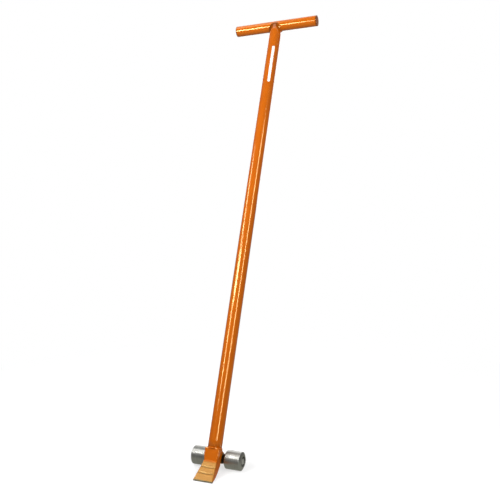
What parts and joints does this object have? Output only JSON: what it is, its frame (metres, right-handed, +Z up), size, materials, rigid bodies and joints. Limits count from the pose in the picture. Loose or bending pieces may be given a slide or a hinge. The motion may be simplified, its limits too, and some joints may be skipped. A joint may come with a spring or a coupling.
{
  "type": "roller lever bar",
  "caption": "Long tubular lever with a welded T-handle, a forged flared claw and two free-turning steel rollers on an axle, for lifting and rolling heavy loads.",
  "frame": {"origin": "on the floor midway between the rollers, straight under the axle", "axes": "+X along the axle to the viewer's right, +Y to the back, the way the lever leans, +Z up; the claw points to -Y"},
  "size_m": [0.313, 0.7384, 1.4413],
  "materials": {
    "paint": "gloss orange enamel over welded steel",
    "turned_steel": "fine turned",
    "ground_steel": "ground",
    "spring_steel": "phosphated spring steel",
    "black_steel": "black oxide, oiled",
    "bronze": "sintered bronze"
  },
  "bodies": {
    "lever": {"lever_tube": "paint", "handle_tube": "paint", "handle_weld": "paint", "handle_cap_left": "paint", "handle_cap_right": "paint", "claw": "paint", "claw_weld": "paint", "axle": "ground_steel", "axle_pin": "spring_steel", "spacer_left": "black_steel", "outer_washer_left": "ground_steel", "circlip_left": "spring_steel", "spacer_right": "black_steel", "outer_washer_right": "ground_steel", "circlip_right": "spring_steel"},
    "roller_left": {"roller_left": "turned_steel", "bush_inner_left": "bronze", "bush_outer_left": "bronze"},
    "roller_right": {"roller_right": "turned_steel", "bush_inner_right": "bronze", "bush_outer_right": "bronze"}
  },
  "joints": [
    {"name": "roller_left_spin", "type": "hinge", "parent": "lever", "child": "roller_left", "pos_m": [-0.054, 0, 0.027], "axis": [1, 0, 0], "continuous": true},
    {"name": "roller_right_spin", "type": "hinge", "parent": "lever", "child": "roller_right", "pos_m": [0.054, 0, 0.027], "axis": [1, 0, 0], "continuous": true}
  ]
}
